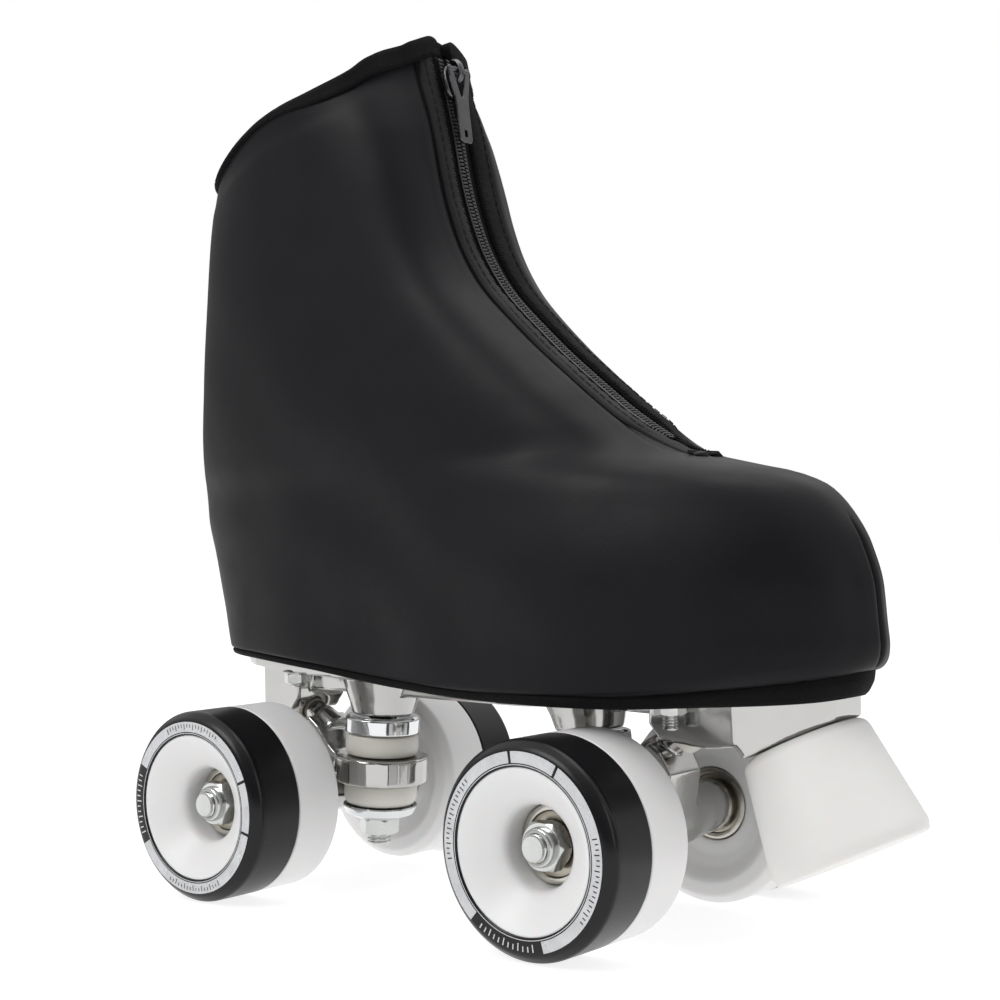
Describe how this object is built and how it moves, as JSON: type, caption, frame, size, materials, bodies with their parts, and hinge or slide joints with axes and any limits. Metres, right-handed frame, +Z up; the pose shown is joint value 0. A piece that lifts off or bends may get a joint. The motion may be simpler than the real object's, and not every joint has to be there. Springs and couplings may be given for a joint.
{
  "type": "quad roller skate",
  "caption": "Quad roller skate with a laced boot inside a zipped fabric cover, a metal plate, two steering trucks, two-colour wheels and a toe stop.",
  "frame": {"origin": "centre of the skate's footprint box, on the floor under the wheels", "axes": "+X to the toe, +Y to the skate's left, +Z up; the boot's middle plane is y = 0"},
  "size_m": [0.2699, 0.1276, 0.2751],
  "materials": {
    "cover_fabric": "satin stretch knit",
    "binding_tape": "matte woven tape",
    "zip_coil": "satin nylon",
    "zip_metal": "polished",
    "boot_leather": "satin",
    "padded_lining": "soft textile",
    "lace_cord": "woven",
    "insole_board": "matte fibre board",
    "outsole_rubber": "matte",
    "polished_aluminium": "polished casting",
    "cream_urethane": "satin, slightly translucent",
    "chromed_steel": "mirror bright",
    "zinc_steel": "bright zinc",
    "white_urethane": "satin urethane",
    "black_urethane": "glossy urethane",
    "white_rubber": "matte"
  },
  "bodies": {
    "root": {"boot_cover": "cover_fabric", "cuff_binding": "binding_tape", "hem_binding": "binding_tape", "zip_binding": "binding_tape", "zip_tape": "binding_tape", "zip_teeth": "zip_coil", "boot_upper": "boot_leather", "tongue": "padded_lining", "laces": "lace_cord", "footbed": "padded_lining", "insole_board": "insole_board", "outsole": "outsole_rubber", "plate": "polished_aluminium", "front_left_bolt": "zinc_steel", "front_right_bolt": "zinc_steel", "rear_left_bolt": "zinc_steel", "rear_right_bolt": "zinc_steel", "front_kingpin": "zinc_steel", "front_kingpin_nut": "zinc_steel", "front_upper_retainer": "chromed_steel", "front_upper_cushion": "cream_urethane", "front_lower_cushion": "cream_urethane", "front_lower_retainer": "chromed_steel", "front_pivot_cup": "cream_urethane", "rear_kingpin": "zinc_steel", "rear_kingpin_nut": "zinc_steel", "rear_upper_retainer": "chromed_steel", "rear_upper_cushion": "cream_urethane", "rear_lower_cushion": "cream_urethane", "rear_lower_retainer": "chromed_steel", "rear_pivot_cup": "cream_urethane"},
    "front_truck": {"front_hanger": "polished_aluminium", "front_axle": "zinc_steel", "front_left_axle_nut": "zinc_steel", "front_right_axle_nut": "zinc_steel"},
    "front_left_wheel": {"front_left_wheel_core": "white_urethane", "front_left_wheel_tyre": "black_urethane", "front_left_inner_bearing": "zinc_steel", "front_left_outer_bearing": "zinc_steel"},
    "front_right_wheel": {"front_right_wheel_core": "white_urethane", "front_right_wheel_tyre": "black_urethane", "front_right_inner_bearing": "zinc_steel", "front_right_outer_bearing": "zinc_steel"},
    "rear_truck": {"rear_hanger": "polished_aluminium", "rear_axle": "zinc_steel", "rear_left_axle_nut": "zinc_steel", "rear_right_axle_nut": "zinc_steel"},
    "rear_left_wheel": {"rear_left_wheel_core": "white_urethane", "rear_left_wheel_tyre": "black_urethane", "rear_left_inner_bearing": "zinc_steel", "rear_left_outer_bearing": "zinc_steel"},
    "rear_right_wheel": {"rear_right_wheel_core": "white_urethane", "rear_right_wheel_tyre": "black_urethane", "rear_right_inner_bearing": "zinc_steel", "rear_right_outer_bearing": "zinc_steel"},
    "toe_stop": {"toe_stop": "white_rubber", "toe_stop_stem": "zinc_steel"},
    "zip_slider": {"zip_slider": "zip_metal"},
    "zip_pull": {"zip_pull": "zip_metal"}
  },
  "joints": [
    {"name": "front_truck_steer", "type": "hinge", "parent": "root", "child": "front_truck", "pos_m": [0.02887, 0, 0.0365], "axis": [0.8704, 0, 0.4924], "range_deg": [-7, 7], "stiffness_Nm_per_rad": 30, "deforming": ["front_upper_cushion", "front_lower_cushion"]},
    {"name": "rear_truck_steer", "type": "hinge", "parent": "root", "child": "rear_truck", "pos_m": [-0.05967, 0, 0.0365], "axis": [-0.8704, 0, 0.4924], "range_deg": [-7, 7], "stiffness_Nm_per_rad": 30, "deforming": ["rear_upper_cushion", "rear_lower_cushion"]},
    {"name": "front_left_wheel_spin", "type": "hinge", "parent": "front_truck", "child": "front_left_wheel", "pos_m": [0.05115, 0.0448, 0.02974], "axis": [0, 1, 0], "continuous": true},
    {"name": "front_right_wheel_spin", "type": "hinge", "parent": "front_truck", "child": "front_right_wheel", "pos_m": [0.05115, -0.0448, 0.02974], "axis": [0, 1, 0], "continuous": true},
    {"name": "rear_left_wheel_spin", "type": "hinge", "parent": "rear_truck", "child": "rear_left_wheel", "pos_m": [-0.08195, 0.0448, 0.02974], "axis": [0, 1, 0], "continuous": true},
    {"name": "rear_right_wheel_spin", "type": "hinge", "parent": "rear_truck", "child": "rear_right_wheel", "pos_m": [-0.08195, -0.0448, 0.02974], "axis": [0, 1, 0], "continuous": true},
    {"name": "toe_stop_height", "type": "slide", "parent": "root", "child": "toe_stop", "axis": [0.4258, 0, -0.9048], "range_m": [0, 0.006]},
    {"name": "zip_slide", "type": "slide", "parent": "root", "child": "zip_slider", "axis": [0.1959, 0, -0.9806], "range_m": [0, 0.02]},
    {"name": "zip_pull_swing", "type": "hinge", "parent": "zip_slider", "child": "zip_pull", "pos_m": [-0.02008, 0, 0.26355], "axis": [0, -1, 0], "range_deg": [0, 150]}
  ]
}
